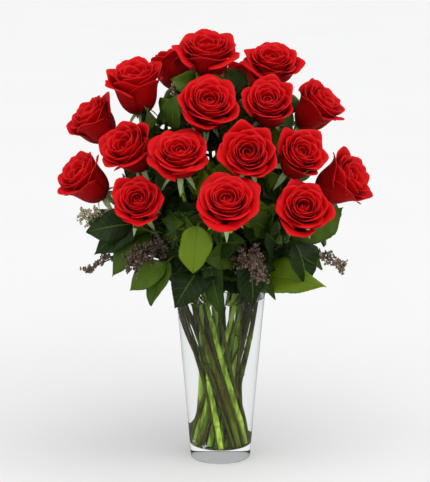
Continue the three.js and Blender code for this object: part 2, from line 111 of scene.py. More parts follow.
class Nodes:
    """The nodes of a material or of the surroundings."""

    def __init__(self, tree):
        self.tree = tree

    def feed(self, socket, value):
        if isinstance(value, Level):
            self.tree.links.new(value.socket, socket)
        else:
            socket.default_value = value

    def node(self, kind, settings=None, inputs=None, output=0):
        """Adds a node: its settings first, then the values or links of its sockets."""
        node = self.tree.nodes.new("ShaderNode" + kind)
        for name, value in (settings or {}).items():
            if name == "stops":
                self.set_stops(node.color_ramp.elements, value)
            else:
                setattr(node, name, value)
        by_identifier = {socket.identifier: socket for socket in node.inputs}
        for name, value in (inputs or {}).items():
            self.feed(by_identifier[name] if name in by_identifier else node.inputs[name], value)
        outlets = [socket for socket in node.outputs if output in (socket.identifier, socket.name)]
        return Level(self, outlets[0] if outlets else node.outputs[0])

    @staticmethod
    def set_stops(ramp, stops):
        ramp.remove(ramp[1])
        for number, (place, colour) in enumerate(stops):
            stop = ramp.new(place) if number else ramp[0]
            stop.position = place
            stop.color = (*colour, 1)


class Finish(Nodes):
    """A material. Its shader's steady values are set as it is made."""

    def __init__(self, name, **steady):
        self.material = bpy.data.materials.new(name)
        self.material.use_nodes = True
        super().__init__(self.material.node_tree)
        self.shader = self.tree.nodes["Principled BSDF"]
        for socket, value in steady.items():
            self.shader.inputs[socket.replace("_", " ")].default_value = value

    def noise(self, scale, detail=2, stretch=(1, 1, 1)):
        place = self.node("TexCoord", output="Object")
        place = self.node("Mapping", {}, {"Vector": place, "Scale": stretch})
        return self.node("TexNoise", {}, {"Vector": place, "Scale": scale, "Detail": detail})

    def net(self, axis):
        """How far across (X) or along (Y) a drawn net a point lies."""
        place = self.node("UVMap", {"uv_map": "net"})
        return self.node("SeparateXYZ", {}, {"Vector": place}, output=axis)

    def kept(self, name):
        """A number that the mesh keeps for each of its points."""
        return self.node("Attribute", {"attribute_name": name}, output="Fac")

    def ramp(self, level, *stops):
        return self.node("ValToRGB", {"stops": stops}, {"Fac": level}, output="Color")

    def mixed(self, share, one, other):
        """One colour going over to the other as share goes from 0 to 1."""
        one, other = (colour if isinstance(colour, Level) else (*colour, 1) for colour in (one, other))
        inputs = {"Factor_Float": share, "A_Color": one, "B_Color": other}
        return self.node("Mix", {"data_type": "RGBA"}, inputs, output="Result_Color")

    def surface(self, **varying):
        for socket, value in varying.items():
            self.feed(self.shader.inputs[socket.replace("_", " ")], value)

    def relief(self, height, depth):
        """Raises the surface where height is 1 to depth metres proud."""
        inputs = {"Height": height, "Distance": depth, "Strength": 1.0}
        self.surface(Normal=self.node("Bump", {}, inputs))

    def lets_light_through(self, colour, share):
        """Light from behind glows through a thin leaf or petal by that share."""
        glow = self.node("BsdfTranslucent", {}, {"Color": colour})
        both = self.node("MixShader", {}, {0: share, 1: Level(self, self.shader.outputs[0]), 2: glow})
        self.tree.links.new(both.socket, self.tree.nodes["Material Output"].inputs["Surface"])


def vase_radius(height):
    """Outer radius of the tapered wall at a height."""
    return BASE_RADIUS + (MOUTH_RADIUS - BASE_RADIUS) * (height / VASE_HEIGHT) ** FLARE


def turned(bm, outline):
    """Turns an outline of (radius, height) points about the vertical axis."""
    points = [bm.verts.new((radius, 0, height)) for radius, height in outline]
    edges = [bm.edges.new(pair) for pair in zip(points, points[1:])]
    bmesh.ops.spin(
        bm, geom=points + edges, axis=(0, 0, 1), cent=(0, 0, 0), angle=2 * math.pi,
        steps=TURNED_STEPS, use_merge=True,
    )
    bmesh.ops.remove_doubles(bm, verts=bm.verts, dist=MERGED_WITHIN)
    bmesh.ops.recalc_face_normals(bm, faces=bm.faces)


def round_rings(bm, rings, rounding, segments):
    """Bevels the level rings of edges at those (radius, height) places."""
    def on_ring(point):
        return any(math.dist((point.co.xy.length, point.co.z), ring) < SAME_PLACE for ring in rings)

    def is_level(edge):
        one, other = (point.co.xy.length for point in edge.verts)
        return abs(one - other) < SAME_PLACE

    sharp = [edge for edge in bm.edges if is_level(edge) and all(on_ring(point) for point in edge.verts)]
    bmesh.ops.bevel(
        bm, geom=sharp, offset=rounding, offset_type="OFFSET", affect="EDGES",
        segments=segments, profile=0.5, material=-1,
    )


def made(name, bm, *finishes):
    """Makes the piece of a finished mesh, with its materials."""
    mesh = bpy.data.meshes.new(name)
    bm.to_mesh(mesh)
    bm.free()
    mesh.shade_smooth()
    for finish in finishes:
        mesh.materials.append(finish.material)
    piece = bpy.data.objects.new(name, mesh)
    bpy.context.scene.collection.objects.link(piece)
    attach(piece, "root")
    return piece


glass = Finish(
    "clear_pressed_glass", Base_Color=GLASS_TINT, Transmission_Weight=1.0, IOR=GLASS_INDEX, Roughness=0.0
)
glass.relief(glass.noise(GLASS_RIPPLE_SCALE, detail=1), GLASS_RIPPLE_DEPTH)

bm = bmesh.new()
heights = [VASE_HEIGHT * step / OUTLINE_STEPS for step in range(OUTLINE_STEPS + 1)]
floor_radius = vase_radius(FOOT_THICKNESS) - WALL
outside = [(vase_radius(height), height) for height in heights]
above_bowl = [height for height in heights if height > FOOT_THICKNESS + 2 * BOWL_ROUND]
inside = [(vase_radius(height) - WALL, height) for height in reversed(above_bowl)]
turned(bm, [(0, 0)] + outside + inside + [(floor_radius, FOOT_THICKNESS), (0, FOOT_THICKNESS)])
rim = [(MOUTH_RADIUS, VASE_HEIGHT), (MOUTH_RADIUS - WALL, VASE_HEIGHT)]
round_rings(bm, rim, RIM_ROUND, RIM_SEGMENTS)
round_rings(bm, [(BASE_RADIUS, 0)], FOOT_ROUND, FOOT_SEGMENTS)
round_rings(bm, [(floor_radius, FOOT_THICKNESS)], BOWL_ROUND, BOWL_SEGMENTS)
vase = made("clear_vase", bm, glass)
vase.visible_shadow = False  # it lets the light through, as the water does
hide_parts("vase")

# --------------------------------------------------------------- the water
# Clean tap water to a finger's breadth under the rim. It touches the glass all
# round, so its side runs just inside the wall, and it climbs the wall a little.

WATER_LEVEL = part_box("water")[1].z
INTO_GLASS = 0.00015
CLIMB_HEIGHT, CLIMB_WIDTH, CLIMB_STEPS = 0.0015, 0.004, 4
WATER_INDEX = 1.33
WATER_TINT = (0.99, 1, 0.995, 1)
WATER_RIPPLE_SCALE, WATER_RIPPLE_DEPTH = 14, 0.0001

water_finish = Finish(
    "clear_water", Base_Color=WATER_TINT, Transmission_Weight=1.0, IOR=WATER_INDEX, Roughness=0.0
)
water_finish.relief(water_finish.noise(WATER_RIPPLE_SCALE, detail=1), WATER_RIPPLE_DEPTH)


def water_radius(height):
    return vase_radius(height) - WALL + INTO_GLASS


bm = bmesh.new()
bed = FOOT_THICKNESS - INTO_GLASS
sides = [(water_radius(height), height) for height in above_bowl if height < WATER_LEVEL]
climb = [
    (water_radius(WATER_LEVEL) - CLIMB_WIDTH * step / CLIMB_STEPS,
     WATER_LEVEL + CLIMB_HEIGHT * (1 - step / CLIMB_STEPS) ** 2)
    for step in range(CLIMB_STEPS + 1)
]
turned(bm, [(0, bed), (water_radius(bed), bed)] + sides + climb + [(0, WATER_LEVEL)])
round_rings(bm, [(water_radius(bed), bed)], BOWL_ROUND, BOWL_SEGMENTS)
water = made("water_in_vase", bm, water_finish)
water.visible_shadow = False
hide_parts("water")

# ---------------------------------------------------------- the rose stems
# Eighteen cut canes, green to reddish brown, knobbly where leaves were taken
# off, with a few prickles. They stand on the vase's floor, cross at its middle
# and spread over the rim. Each ends in a hip with five hanging sepals.

# Each rose: the middle of its face, the way it faces (turn, lift, in degrees), its width, and
# its depth as a share of that.
ROSES = [
    ((-0.019, 0.020, 0.573), -90, 72, 0.098, 0.57),
    ((0.070, 0.045, 0.555), -78, 66, 0.085, 0.58),
    ((-0.068, 0.084, 0.546), 140, 62, 0.078, 0.70),
    ((-0.115, 0.014, 0.527), -115, 70, 0.089, 0.79),
    ((-0.016, -0.050, 0.514), -80, 48, 0.090, 0.68),
    ((0.064, -0.032, 0.510), -88, 50, 0.076, 0.74),
    ((0.135, 0.030, 0.495), -22, 48, 0.083, 0.74),
    ((-0.174, 0.034, 0.476), -158, 50, 0.076, 0.76),
    ((-0.123, -0.050, 0.450), -130, 40, 0.082, 0.78),
    ((-0.055, -0.100, 0.453), -92, 58, 0.091, 0.58),
    ((0.036, -0.095, 0.453), -88, 36, 0.083, 0.70),
    ((0.106, -0.065, 0.445), -58, 40, 0.076, 0.76),
    ((0.168, -0.025, 0.401), -24, 29, 0.088, 0.76),
    ((-0.185, -0.025, 0.405), -152, 42, 0.082, 0.77),
    ((-0.111, -0.105, 0.391), -98, 40, 0.075, 0.66),
    ((0.008, -0.146, 0.397), -90, 50, 0.096, 0.54),
    ((0.111, -0.115, 0.383), -82, 38, 0.082, 0.68),
    ((0.036, 0.118, 0.518), 75, 50, 0.078, 0.68),
]
# How far a bloom's underside lies behind the middle of its face, as a share of its width, on a
# bloom of the mean depth.
SEAT_SHARE, MEAN_DEPTH = 0.4624, 0.68
CANE_RADIUS, CANE_NECK, NECK_LENGTH = 0.0034, 0.0024, 0.012
CANE_SIDES, CANE_STEP, CANE_SMOOTHING = 12, 0.004, 6
# How a stem is followed up its CAD solid: its first cut over the floor, the step between cuts,
# and how near the middle that is expected an edge has to cross.
FLOOR_GAP, TRACK_STEP, TRACK_WIDTH = 0.0015, 0.008, 0.007
CLEAR_OF_HIP = 0.022
NODE_SPACING, NODE_LENGTH, NODE_SWELL = (0.045, 0.075), 0.0022, 0.0006
PRICKLES, PRICKLE_LENGTH, PRICKLE_RADIUS, PRICKLE_POINT = 5, 0.005, 0.0015, 0.0001
PRICKLE_HOOK, PRICKLE_ARCH, PRICKLE_SIDES = 0.4, 0.0004, 5
HIP_OUTLINE = [(-0.016, 0.0024), (-0.012, 0.0038), (-0.007, 0.0060), (-0.002, 0.0066), (0.002, 0.0050)]
HIP_SIDES, HIP_FINISH = 14, 1
SEPALS, SEPAL_LENGTH, SEPAL_WIDTH, SEPAL_THICKNESS = 5, 0.034, 0.0085, 0.0006
SEPAL_STEPS, SEPAL_SIDES, SEPAL_POINT = 8, 8, 0.0003
SEPAL_FROM, SEPAL_OUT, SEPAL_LIFT, SEPAL_HANG = (0.005, 0.001), 0.62, 0.35, 0.75
CANE_COLOURS = [
    (0, (0.030, 0.015, 0.002)), (0.35, (0.085, 0.080, 0.004)),
    (0.7, (0.150, 0.28, 0.012)), (1, (0.50, 0.76, 0.09)),
]
NODE_COLOUR = (0.20, 0.20, 0.06)
HIP_COLOURS = [(0.3, (0.18, 0.31, 0.07)), (0.75, (0.48, 0.58, 0.28))]


def blend(low, high, share):
    return low + (high - low) * share


def pointing(turn, lift):
    """The direction at those degrees round from +X and over level."""
    turn, lift = math.radians(turn), math.radians(lift)
    return Vector((math.cos(turn) * math.cos(lift), math.sin(turn) * math.cos(lift), math.sin(lift)))


def bloom_seat(at, facing, width, deep):
    """Where the underside of a bloom sits on its hip, nearer its face on a shallow one."""
    return Vector(at) - facing * width * (SEAT_SHARE - max(0, MEAN_DEPTH - deep))


def cut_middle(node, height, near=None):
    """Middle of a CAD stem's cut at a height, from its edges' crossings near a point."""
    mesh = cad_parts[node].data
    crossings = []
    for edge in mesh.edges:
        low, high = (mesh.vertices[number].co for number in edge.vertices)
        if (low.z - height) * (high.z - height) < 0:
            crossing = low.lerp(high, (height - low.z) / (high.z - low.z))
            if near is None or (crossing - near).length < TRACK_WIDTH:
                crossings.append(crossing)
    return sum(crossings, Vector()) / len(crossings) if crossings else None


def stem_line(node, top):
    """A stem's line from the vase's floor to a height, followed up through its CAD solid."""
    height = FOOT_THICKNESS + FLOOR_GAP
    line = [cut_middle(node, height)]
    while height + TRACK_STEP < top:
        height += TRACK_STEP
        slope = line[-1] - line[-2] if len(line) > 1 else Vector((0, 0, 1))
        middle = cut_middle(node, height, line[-1] + slope * (height - line[-1].z) / slope.z)
        if middle:
            line.append(middle)
    return line


def even_line(line, step, passes):
    """The same line with its points about a step apart, drawn smooth between its ends."""
    spaced = [line[0]]
    for behind, ahead in zip(line, line[1:]):
        pieces = max(1, round((ahead - behind).length / step))
        spaced += [behind.lerp(ahead, piece / pieces) for piece in range(1, pieces + 1)]
    for _ in range(passes):
        inner = [(a + 2 * b + c) / 4 for a, b, c in zip(spaced, spaced[1:], spaced[2:])]
        spaced = [spaced[0]] + inner + [spaced[-1]]
    return spaced


def drawn(bm, across, up, place, tone=0.5, start=0.0, measure=1.0):
    """A net of across by up faces. place(side, along) says where each of its points goes,
    side from -1 to 1 and along from 0 to 1. The net map keeps side and start + along * measure."""
    net_map = bm.loops.layers.uv.get("net") or bm.loops.layers.uv.new("net")
    tones = bm.verts.layers.float.get("tone") or bm.verts.layers.float.new("tone")
    net = bmesh.ops.create_grid(bm, x_segments=across, y_segments=up, size=1)["verts"]
    faces = list({face for point in net for face in point.link_faces})
    for face in faces:
        for corner in face.loops:
            side, height, _ = corner.vert.co
            corner[net_map].uv = (side, start + (height + 1) / 2 * measure)
    for point in net:
        point[tones] = tone
        point.co = place(point.co.x, (point.co.y + 1) / 2)
    return net, faces


def tube(bm, line, radii, sides, tone=0.5, start=0.0, measure=1.0, flat=1.0, face=None):
    """A closed round stem along a line, or a flat one if its section is flattened along face. Its
    end points are doubled to close it, so its way at a point is taken over two steps each way."""
    line = [line[0]] + list(line) + [line[-1]]
    radii = [0] + list(radii) + [0]
    steps = len(line) - 1
    frames = []
    out = face
    for number, here in enumerate(line):
        along = line[min(number + 2, steps)] - line[max(number - 2, 0)]
        along.normalize()
        out = out or along.orthogonal()
        out = (out - along * out.dot(along)).normalized()
        frames.append((here, out, along.cross(out), radii[number]))

    def place(side, share):
        here, out, across, radius = frames[round(share * steps)]
        turn = math.pi * side
        return here + (out * math.cos(turn) * flat + across * math.sin(turn)) * radius

    net, _ = drawn(bm, sides, steps, place, tone, start, measure)
    bmesh.ops.remove_doubles(bm, verts=net, dist=MERGED_WITHIN)


def length_of(line):
    return sum((ahead - behind).length for behind, ahead in zip(line, line[1:]))


def cane_radii(line, low, high, start, scars):
    """The stem tapers from low to high and swells a little at each leaf scar."""
    total = length_of(line)
    radii = []
    for number in range(len(line)):
        share = number / (len(line) - 1)
        from_scar = abs((start + share * scars + 0.5) % 1 - 0.5) * total / scars
        radii.append(blend(low, high, share) + NODE_SWELL * math.exp(-(from_scar / NODE_LENGTH) ** 2))
    return radii


def prickle(bm, line, dice, tone):
    """A small hooked thorn, its point lower than its base, at any step of the line but the lowest
    eighth and the last few."""
    number = dice.randrange(len(line) // 8, len(line) - 6)
    here, along = line[number], (line[number + 1] - line[number]).normalized()
    out = along.cross(pointing(dice.uniform(0, 360), dice.uniform(-20, 20))).normalized()
    base = here + out * CANE_NECK
    point = base + out * PRICKLE_LENGTH - along * PRICKLE_LENGTH * PRICKLE_HOOK
    bent = [base, base.lerp(point, 0.5) + along * PRICKLE_ARCH, point]
    tube(bm, bent, [PRICKLE_RADIUS, PRICKLE_RADIUS / 2, PRICKLE_POINT], PRICKLE_SIDES, tone)


def sepal(bm, seat, facing, turn, dice):
    """A long narrow flap that leaves the hip's top and hangs back along it."""
    side = facing.orthogonal().normalized()
    side = (side * math.cos(turn) + facing.cross(side) * math.sin(turn)).normalized()
    reach = SEPAL_LENGTH * dice.uniform(0.85, 1.1)
    lift = SEPAL_LIFT * dice.uniform(-0.1, 0.3)
    start = seat + side * SEPAL_FROM[0] + facing * SEPAL_FROM[1]
    line, radii = [], []
    for step in range(SEPAL_STEPS + 1):
        share = step / SEPAL_STEPS
        way = side * SEPAL_OUT * share + facing * (lift * share - SEPAL_HANG * share ** 2)
        line.append(start + way * reach)
        fullness = math.sin(math.pi * min(1, blend(0.28, 1, share))) ** 0.8
        radii.append(SEPAL_WIDTH / 2 * fullness + SEPAL_POINT)
    flat, face = 2 * SEPAL_THICKNESS / SEPAL_WIDTH, (side + facing).normalized()
    tube(bm, line, radii, SEPAL_SIDES, 0.4 + 0.3 * dice.random(), flat=flat, face=face)


cane = Finish("rose_cane_bark", Specular_IOR_Level=0.05)
streaks = cane.noise(scale=260, detail=3, stretch=(1, 1, 0.12))
patches = cane.noise(scale=38, stretch=(1, 1, 0.4))
bark = cane.ramp(cane.kept("tone") + (patches - 0.5) * 1.3 + (streaks - 0.5) * 1.1, *CANE_COLOURS)
scar = 1 - abs((cane.net("Y") + 0.5).fraction() - 0.5).between(0.010, 0.032)
cane.surface(Base_Color=cane.mixed(scar * patches * 0.7, bark, NODE_COLOUR), Roughness=0.34 + streaks * 0.2)
cane.relief(streaks + scar * 0.6, depth=0.0004)

green_hip = Finish("rose_hip_green", Roughness=0.5, Sheen_Weight=0.1)
veins = green_hip.noise(scale=190, detail=3, stretch=(1, 1, 0.2))
green_hip.surface(Base_Color=green_hip.ramp(green_hip.kept("tone") * 0.5 + veins * 0.6, *HIP_COLOURS))
green_hip.relief(veins, depth=0.0003)

cane_lines = {}
for number, (at, turn, lift, width, deep) in enumerate(ROSES, 1):
    dice = random.Random(100 + number)
    node = f"rose_{number:02d}_stem"
    facing = pointing(turn, lift)
    seat = bloom_seat(at, facing, width, deep)
    neck = seat - facing * NECK_LENGTH
    tone = dice.uniform(0.15, 1.0)
    line = even_line(stem_line(node, seat.z - CLEAR_OF_HIP) + [neck], CANE_STEP, CANE_SMOOTHING)
    cane_lines[number] = line
    start, scars = dice.random(), length_of(line) / dice.uniform(*NODE_SPACING)
    bm = bmesh.new()
    radii = cane_radii(line, CANE_RADIUS, CANE_NECK, start, scars)
    tube(bm, line, radii, CANE_SIDES, tone, start, scars)
    for _ in range(PRICKLES):
        prickle(bm, line, dice, tone * 0.4)
    bark_faces = len(bm.faces)
    hip_line = [seat + facing * height for height, _ in HIP_OUTLINE]
    tube(bm, hip_line, [radius for _, radius in HIP_OUTLINE], HIP_SIDES)
    for order in range(SEPALS):
        sepal(bm, seat, facing, 2 * math.pi * (order + dice.uniform(-0.15, 0.15)) / SEPALS, dice)
    bm.faces.ensure_lookup_table()
    for face in bm.faces[bark_faces:]:
        face.material_index = HIP_FINISH
    piece = made(f"rose_{number:02d}_cane", bm, cane, green_hip)
    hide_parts(node)

# --------------------------------------------------------------- the blooms
# Each bloom is some thirty thin velvety petals set in a spiral: a tight heart
# leaning in, then rows that open wider, the outermost with their rims rolled
# back to a point. Inside, a petal is bright red, and its back a darker crimson.

PETALS = 30
PETAL_ACROSS, PETAL_UP = 16, 14
PETAL_THICKNESS = 0.0007
SPIRAL_STEP = 137.5
HEART_RADIUS, HEART_SHARE, HEART_TOP = 0.07, 0.4, 0.78
# Depth over width of a bloom that is still upright and of one that lies open. From the first to
# the second, the rims of the outer petals drop by a larger share of the depth, and roll back by
# more degrees.
DEEPEST, SHALLOWEST = 0.9, 0.54
RIM_DROP, RIM_ROLL = (0.05, 0.30), (-80, -120)
DROP_FROM, ROLL_FROM = 0.45, 0.25
MIDDLE_ROLL, EDGE_ROLL, EDGE_EARLIER = 0.7, 0.7, 0.12
# From the heart to the outermost petal, in degrees: how far a petal wraps to each side, and how
# steeply its wall and its foot stand. Then the shares of its length where the wall is reached
# and where the rim starts.
WRAP, WALL_LIFT, FOOT_LIFT = (115, 54), (92, 80), (40, 6)
WALL_FROM, RIM_FROM = (0.3, 0.72), (0.62, 0.68)
LEAN_IN = 60
PETAL_FOOT, FULL_WIDTH_AT, OVERLAP = 0.0008, 0.6, 0.1
TIP_POINT, TIP_WIDTH, CORNER_CUT = 0.06, 0.2, 0.15
RIM_WAVE, RIM_CRINKLE, RIM_LIFT = 0.045, 0.018, 0.045
# A petal's reds from its foot to its rim, on its face and on its back. The darker red towards the foot is
# painted shade, deep inside the bloom.
PETAL_FACE = [(0.15, (0.32, 0.0004, 0.001)), (0.7, (0.63, 0.0012, 0.003)), (1, (0.74, 0.003, 0.006))]
PETAL_BACK = [(0.15, (0.20, 0.0004, 0.001)), (0.7, (0.46, 0.0008, 0.002)), (1, (0.64, 0.002, 0.004))]
# Colour of the painted highlight on a petal's rim.
PETAL_RIM_HIGHLIGHT = (0.85, 0.05, 0.06)


def ease(share):
    share = min(max(share, 0), 1)
    return share * share * (3 - 2 * share)


def past(start, share):
    """How far share has come from start to 1, or 0 before it."""
    return max(0, (share - start) / (1 - start))


def petal_profile(base, wall, turn_share, bend, bend_from):
    """Reach and rise along a petal, from its angle over level at each step."""
    reach, rise = 0.0, 0.0
    profile = [(0.0, 0.0)]
    for step in range(PETAL_UP):
        share = (step + 0.5) / PETAL_UP
        angle = blend(base, wall, ease(share / turn_share)) + bend * past(bend_from, share) ** 1.2
        reach += math.cos(math.radians(angle)) / PETAL_UP
        rise += math.sin(math.radians(angle)) / PETAL_UP
        profile.append((reach, rise))
    return profile


def petal(bm, order, half, depth, open_share, dice, frame_of):
    """One petal of the spiral, from the heart (order 0) outwards."""
    out = order / (PETALS - 1)
    rim = half * blend(HEART_RADIUS, 1, out ** 1.25) * dice.uniform(0.97, 1.03)
    drop = blend(*RIM_DROP, open_share) * past(DROP_FROM, out) ** 1.2
    height = depth * (blend(HEART_TOP, 1, ease(out * 2)) - drop) * dice.uniform(0.98, 1.02)
    spread = math.radians(blend(*WRAP, out ** 0.6)) * dice.uniform(0.93, 1.07)
    wall = blend(*WALL_LIFT, out ** 0.8) + dice.uniform(-3, 3)
    base = blend(*FOOT_LIFT, out)
    turn_share = blend(*WALL_FROM, out)
    lean_in = LEAN_IN * (1 - ease(out / HEART_SHARE))
    roll_back = blend(*RIM_ROLL, open_share) * ease(past(ROLL_FROM, out)) * dice.uniform(0.6, 1.25)
    bend_from = blend(*RIM_FROM, out)
    turn = math.radians(order * SPIRAL_STEP) + dice.uniform(-0.12, 0.12)
    waves = dice.uniform(0, 2 * math.pi)
    middle = petal_profile(base, wall, turn_share, lean_in + roll_back * MIDDLE_ROLL, bend_from)
    raised = height / max(rise for _, rise in middle)
    profiles = {}

    def place(side, along):
        edge = round(abs(side), 4)
        if edge not in profiles:
            bend = lean_in + roll_back * (MIDDLE_ROLL + EDGE_ROLL * edge ** 2)
            profile = petal_profile(base, wall, turn_share, bend, bend_from - EDGE_EARLIER * edge ** 2 * out)
            profiles[edge] = profile, rim / max(reach for reach, _ in profile)
        point = TIP_POINT * out * math.exp(-(side / TIP_WIDTH) ** 2)
        at = along * (1 - CORNER_CUT * edge ** 2.6 + point) * PETAL_UP
        low = min(int(at), PETAL_UP - 1)
        profile, widen = profiles[edge]
        (near, under), (far, over) = profile[low], profile[low + 1]
        reach = blend(near, far, at - low) * widen * (1 + OVERLAP * side * (1.3 - out)) + PETAL_FOOT
        reach *= 1 + RIM_WAVE * out * along ** 3 * math.sin(3.1 * side + waves)
        reach *= 1 + RIM_CRINKLE * out * along ** 6 * math.sin(8.3 * side + 2.3 * waves)
        rise = blend(under, over, at - low) * raised
        rise += RIM_LIFT * half * out * along ** 4 * math.sin(4.7 * side + 2 * waves)
        fullness = math.sin(math.pi / 2 * min(1, along / FULL_WIDTH_AT))
        angle = turn + side * spread * blend(0.5, 1, fullness)
        return frame_of(reach * math.cos(angle), reach * math.sin(angle), rise)

    drawn(bm, PETAL_ACROSS, PETAL_UP, place, dice.random())


def petal_finish(name, colours):
    """Velvet with painted shade towards its foot, fine veins, and a painted highlight here and there on its
    rim.
    """
    finish = Finish(
        name, Specular_IOR_Level=0.12, Sheen_Weight=0.06, Sheen_Roughness=0.4, Sheen_Tint=(1, 0.15, 0.2, 1)
    )
    across, along = finish.net("X"), finish.net("Y")
    mottle = finish.noise(scale=90, detail=3)
    veins = (across * 46 + mottle * 5).wave() * 0.5 + 0.5
    # The level rises along the petal, so painted shade darkens the red towards its foot.
    level = along + (mottle - 0.5) * 0.35 + (finish.kept("tone") - 0.5) * 0.2
    red = finish.ramp(level, *colours)
    # Pale patches along the rim are a painted highlight.
    edge = along.between(0.955, 1.0) * mottle.between(0.4, 0.62)
    red = finish.mixed(edge * 0.4, red, PETAL_RIM_HIGHLIGHT)
    finish.surface(Base_Color=red, Roughness=0.48 + mottle * 0.2)
    finish.relief(veins * 0.35 + mottle, depth=0.0003)
    finish.lets_light_through(red, share=0.22)
    return finish


petal_back = petal_finish("rose_petal_back", PETAL_BACK)
petal_face = petal_finish("rose_petal_face", PETAL_FACE)

for number, (at, turn, lift, width, deep) in enumerate(ROSES, 1):
    dice = random.Random(200 + number)
    facing = pointing(turn, lift)
    seat = bloom_seat(at, facing, width, deep)
    spin = Matrix.Rotation(dice.uniform(0, 2 * math.pi), 3, facing)
    side = spin @ facing.orthogonal().normalized()
    across = facing.cross(side)
    open_share = (DEEPEST - deep) / (DEEPEST - SHALLOWEST)
    bm = bmesh.new()
    for order in range(PETALS):
        petal(bm, order, width / 2, deep * width, open_share, dice,
              lambda x, y, z: seat + side * x + across * y + facing * z)
    bloom = made(f"rose_{number:02d}_petals", bm, petal_back, petal_face)
    thick = bloom.modifiers.new("petal_thickness", "SOLIDIFY")
    thick.thickness = PETAL_THICKNESS
    thick.offset = 0
    thick.material_offset = 1
    thick.material_offset_rim = 1
    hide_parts(f"rose_{number:02d}_bloom")

# ---------------------------------------------------------- the leafy greens
# Sprays of broad, leathery, finely toothed leaves, each spray a woody stem with
# its leaves set along it. They fill the bunch and hang over the vase's rim.

# Each spray: where its stem ends, the way it leaves there (turn, lift), the leaves that show,
# as (share of the stem, tip, width, tone from dark to bright), and how many side leaves it has.
SPRAYS = {
    "left": ((-0.118, -0.060, 0.350), -172, 5, [
        (1, (-0.184, -0.062, 0.341), 0.044, 0.12),
        (0.93, (-0.174, -0.060, 0.308), 0.042, 0.15),
        (0.8, (-0.152, -0.074, 0.284), 0.038, 0.5)], 4),
    "front_left": ((-0.072, -0.090, 0.305), -130, -25, [
        (1, (-0.123, -0.090, 0.262), 0.036, 0.62),
        (0.94, (-0.100, -0.096, 0.246), 0.034, 0.5)], 3),
    "front": ((-0.029, -0.106, 0.362), -100, 10, [
        (1, (-0.037, -0.117, 0.294), 0.046, 1.0),
        (0.36, (-0.064, -0.097, 0.243), 0.056, 0.1),
        (0.6, (-0.004, -0.086, 0.222), 0.030, 0.3)], 3),
    "front_right": ((0.034, -0.090, 0.318), -70, 0, [
        (1, (0.050, -0.092, 0.242), 0.046, 0.1),
        (0.8, (0.076, -0.084, 0.250), 0.020, 0.3)], 3),
    "right": ((0.100, -0.074, 0.330), -30, 10, [
        (1, (0.116, -0.086, 0.272), 0.050, 0.15),
        (0.12, (0.134, -0.104, 0.273), 0.052, 0.9),
        (0.9, (0.171, -0.028, 0.362), 0.044, 0.55),
        (0.95, (0.140, -0.070, 0.288), 0.022, 0.4)], 3),
    "right_back": ((0.112, 0.062, 0.352), 25, 12, [
        (1, (0.172, 0.088, 0.330), 0.042, 0.3), (0.85, (0.150, 0.034, 0.300), 0.044, 0.6)], 4),
    "back_right": ((0.052, 0.112, 0.372), 65, 15, [
        (1, (0.070, 0.166, 0.340), 0.044, 0.2), (0.85, (0.022, 0.140, 0.306), 0.044, 0.5)], 4),
    "back": ((-0.028, 0.116, 0.398), 105, 20, [
        (1, (-0.044, 0.170, 0.366), 0.044, 0.4), (0.84, (-0.002, 0.146, 0.348), 0.042, 0.15)], 4),
    "back_left": ((-0.096, 0.093, 0.371), 138, 15, [
        (1, (-0.136, 0.130, 0.340), 0.044, 0.2), (0.85, (-0.084, 0.142, 0.320), 0.042, 0.7)], 4),
    "left_back": ((-0.128, 0.026, 0.352), 168, 10, [
        (1, (-0.190, 0.036, 0.326), 0.042, 0.3), (0.85, (-0.152, 0.066, 0.300), 0.042, 0.5)], 4),
    "inner_left": ((-0.064, -0.014, 0.470), -120, 70, [(1, (-0.060, -0.030, 0.522), 0.034, 0.5)], 5),
    "inner_right": ((0.076, 0.010, 0.450), -45, 70, [(1, (0.098, -0.006, 0.496), 0.034, 0.4)], 5),
}
MOUTH_Z = VASE_HEIGHT + 0.004
STEM_RADIUS, STEM_TIP, STEM_SIDES = 0.0026, 0.0011, 8
BEND_HANDLE, BEND_STEPS, RISING_STEPS = 0.4, 26, 3
SIDE_LEAF_LENGTH, SIDE_LEAF_WIDTH = 0.062, 0.044
FILL_LEAVES, FILL_LEAF_LENGTH, FILL_LEAF_BREADTH = 10, 0.054, 0.7
# A leaf turns its face away from the middle of the bunch and up, and in front forward too.
LOOK_UP, LOOK_FORWARD = 0.060, 0.14
LEAF_ACROSS, LEAF_UP = 8, 44
LEAF_THICKNESS = 0.0006
LEAF_MIDDLE, LEAF_STALK, STALK_BREADTH = 0.42, 0.07, 0.03
LEAF_ARCH, LEAF_FOLD, LEAF_TWIST, LEAF_DROOP = 0.1, 0.24, 0.5, 0.1
LEAF_UNEVEN, LEAF_WAVE, LEAF_CRINKLE, LEAF_TOOTH = 0.09, 0.07, 0.02, 0.055
TOP_FINISH, UNDER_FINISH = 1, 2  # a piece's stem has finish 0
LEAF_COLOURS = [
    (0, (0.006, 0.020, 0.004)), (0.3, (0.020, 0.050, 0.003)),
    (0.6, (0.064, 0.130, 0.005)), (1, (0.155, 0.250, 0.008)),
]
UNDERSIDE_COLOURS = [(0, (0.05, 0.085, 0.03)), (1, (0.22, 0.32, 0.09))]
MIDRIB_COLOUR = (0.15, 0.22, 0.03)


def bent_line(node, end, turn, lift, bend=1.0):
    """A stem from the vase's floor over the rim to its end, bent in one curve past the mouth."""
    line = stem_line(node, MOUTH_Z)
    mouth, end = line[-1], Vector(end)
    reach = (end - mouth).length * BEND_HANDLE * bend
    rising = (mouth - line[-1 - RISING_STEPS]).normalized() * reach
    leaving = pointing(turn, lift) * reach
    curve = interpolate_bezier(mouth, mouth + rising, end - leaving, end, BEND_STEPS)
    return even_line(line, CANE_STEP * 2, passes=3), curve


def along_curve(curve, share):
    """The point at a share of a curve's length."""
    at = share * (len(curve) - 1)
    low = min(int(at), len(curve) - 2)
    return curve[low].lerp(curve[low + 1], at - low)


